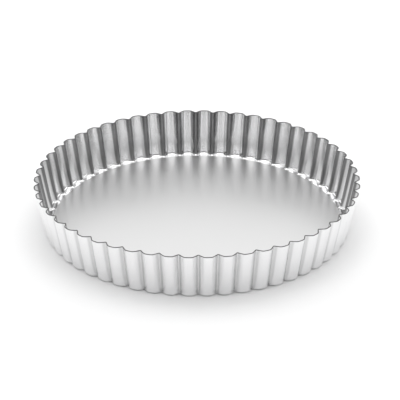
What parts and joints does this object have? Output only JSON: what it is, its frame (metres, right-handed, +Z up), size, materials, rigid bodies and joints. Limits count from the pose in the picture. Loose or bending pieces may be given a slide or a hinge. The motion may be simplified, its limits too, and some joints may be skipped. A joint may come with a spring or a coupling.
{
  "type": "loose-bottom tart pan",
  "caption": "Round tart ring with a flaring fluted wall and an inward ledge, holding a loose flat base that is pushed up and lifted out to free the bake.",
  "frame": {"origin": "centre of the pan, on the surface that the ring's ledge stands on", "axes": "+Z up along the pan's axis, the way the base lifts out; -Y is the side nearest the camera in the picture"},
  "size_m": [0.24, 0.2398, 0.035],
  "materials": {
    "bright_tinplate": "bright pressed tinplate",
    "satin_tinplate": "satin rolled tinplate"
  },
  "bodies": {
    "ring": {"fluted_ring": "bright_tinplate"},
    "base": {"loose_base": "satin_tinplate"}
  },
  "joints": [
    {"name": "base_lift", "type": "slide", "parent": "ring", "child": "base", "axis": [0, 0, 1], "range_m": [0, 0.05]}
  ]
}
